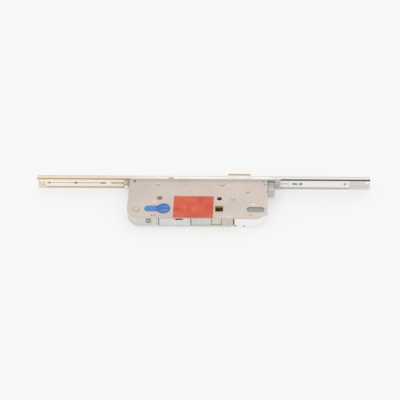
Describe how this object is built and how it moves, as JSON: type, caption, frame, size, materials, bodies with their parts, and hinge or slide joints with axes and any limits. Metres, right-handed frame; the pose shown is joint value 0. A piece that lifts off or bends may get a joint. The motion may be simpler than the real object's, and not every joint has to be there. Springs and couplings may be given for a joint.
{
  "type": "multipoint door lock",
  "caption": "Centre section of a multipoint mortise lock: case with latch, deadbolt, follower and gear drive on a channel faceplate with drive rods and roller cams.",
  "frame": {"origin": "on the axis of the follower's square hole, at half the thickness of the case", "axes": "+X up the door along the faceplate, +Y towards the faceplate's front, +Z out of the case cover"},
  "size_m": [0.4405, 0.0855, 0.02],
  "materials": {
    "faceplate_steel": "zinc-plated steel",
    "case_steel": "satin zinc-plated sheet steel",
    "drive_steel": "yellow-passivated steel",
    "brass": "yellow-passivated die-cast zinc",
    "spring_steel": "bright spring wire",
    "blue_plastic": "matt blue plastic",
    "white_plastic": "matt white plastic",
    "beige_plastic": "matt beige plastic",
    "label_red": "printed red film",
    "gear_steel": "sintered steel"
  },
  "bodies": {
    "case": {"faceplate": "faceplate_steel", "case_tray": "case_steel", "case_lower_wall": "case_steel", "case_upper_wall": "case_steel", "case_cover": "case_steel", "slot_plate": "gear_steel", "case_pillars": "case_steel", "fixing_sleeve": "white_plastic", "gear_axles": "case_steel", "gear_spacers": "gear_steel", "bolt_guide_pin": "case_steel", "spring_seat": "case_steel", "lower_bracket": "case_steel", "lower_bracket_stud": "case_steel", "lower_bracket_rivet": "case_steel", "upper_bracket": "case_steel", "upper_bracket_stud": "case_steel", "upper_bracket_rivet": "case_steel", "latch_guide": "white_plastic", "label": "label_red", "rear_shield": "white_plastic", "spring_housing": "faceplate_steel", "latch_spring": "spring_steel", "handle_spring": "spring_steel"},
    "drive": {"drive_slider": "drive_steel", "lower_rod": "drive_steel", "upper_rod": "drive_steel", "rod_keys": "drive_steel", "coupling_block": "gear_steel", "bolt_cam_plate": "gear_steel", "cam_studs": "gear_steel"},
    "lower_cam_roller": {"lower_roller": "gear_steel"},
    "upper_cam_roller": {"upper_roller": "gear_steel"},
    "deadbolt": {"deadbolt": "gear_steel", "deadbolt_pin": "gear_steel"},
    "latch": {"latch_head": "gear_steel", "latch_tail": "gear_steel"},
    "follower": {"follower": "brass"},
    "spring_cap": {"spring_cap": "beige_plastic"},
    "rack_pinion": {"rack_pinion": "gear_steel"},
    "idler_gear": {"idler_gear": "gear_steel"},
    "cam_wheel": {"cam_wheel": "gear_steel"},
    "cylinder_plug": {"cylinder_plug": "blue_plastic"}
  },
  "joints": [
    {"name": "drive_slide", "type": "slide", "parent": "case", "child": "drive", "axis": [1, 0, 0], "range_m": [0, 0.02]},
    {"name": "lower_roller_spin", "type": "hinge", "parent": "drive", "child": "lower_cam_roller", "pos_m": [-0.1923, 0.062, 0], "axis": [0, 1, 0], "continuous": true},
    {"name": "upper_roller_spin", "type": "hinge", "parent": "drive", "child": "upper_cam_roller", "pos_m": [0.1064, 0.062, 0], "axis": [0, 1, 0], "continuous": true},
    {"name": "deadbolt_slide", "type": "slide", "parent": "case", "child": "deadbolt", "axis": [0, 1, 0], "range_m": [0, 0.02]},
    {"name": "pinion_turn", "type": "hinge", "parent": "case", "child": "rack_pinion", "pos_m": [-0.081, 0.04651, 0], "axis": [0, 0, 1], "range_deg": [-153, 0]},
    {"name": "idler_turn", "type": "hinge", "parent": "case", "child": "idler_gear", "pos_m": [-0.0692, 0.03534, 0], "axis": [0, 0, 1], "range_deg": [0, 131]},
    {"name": "cam_wheel_turn", "type": "hinge", "parent": "case", "child": "cam_wheel", "pos_m": [-0.078, 0.0195, 0], "axis": [0, 0, 1], "range_deg": [-122.5, 0]},
    {"name": "follower_turn", "type": "hinge", "parent": "case", "child": "follower", "pos_m": [0, 0, 0], "axis": [0, 0, 1], "range_deg": [-36, 0], "stiffness_Nm_per_rad": 0.8, "springref_deg": 20.05},
    {"name": "latch_slide", "type": "slide", "parent": "case", "child": "latch", "axis": [0, 1, 0], "range_m": [-0.0095, 0], "deforming": ["latch_spring"]},
    {"name": "spring_cap_slide", "type": "slide", "parent": "case", "child": "spring_cap", "axis": [1, 0, 0], "range_m": [-0.0075, 0], "deforming": ["handle_spring"]},
    {"name": "plug_pull", "type": "slide", "parent": "case", "child": "cylinder_plug", "axis": [0, 0, 1], "range_m": [0, 0.02]}
  ],
  "couplings": [
    {"joint": "deadbolt_slide", "follows": "drive_slide", "ratio": 1},
    {"joint": "pinion_turn", "follows": "drive_slide", "rad_per_m": -133.33},
    {"joint": "idler_turn", "follows": "drive_slide", "rad_per_m": 114.29},
    {"joint": "cam_wheel_turn", "follows": "drive_slide", "rad_per_m": -106.67},
    {"joint": "follower_turn", "follows": "latch_slide", "rad_per_m": 66.1},
    {"joint": "spring_cap_slide", "follows": "latch_slide", "ratio": 0.7734}
  ]
}
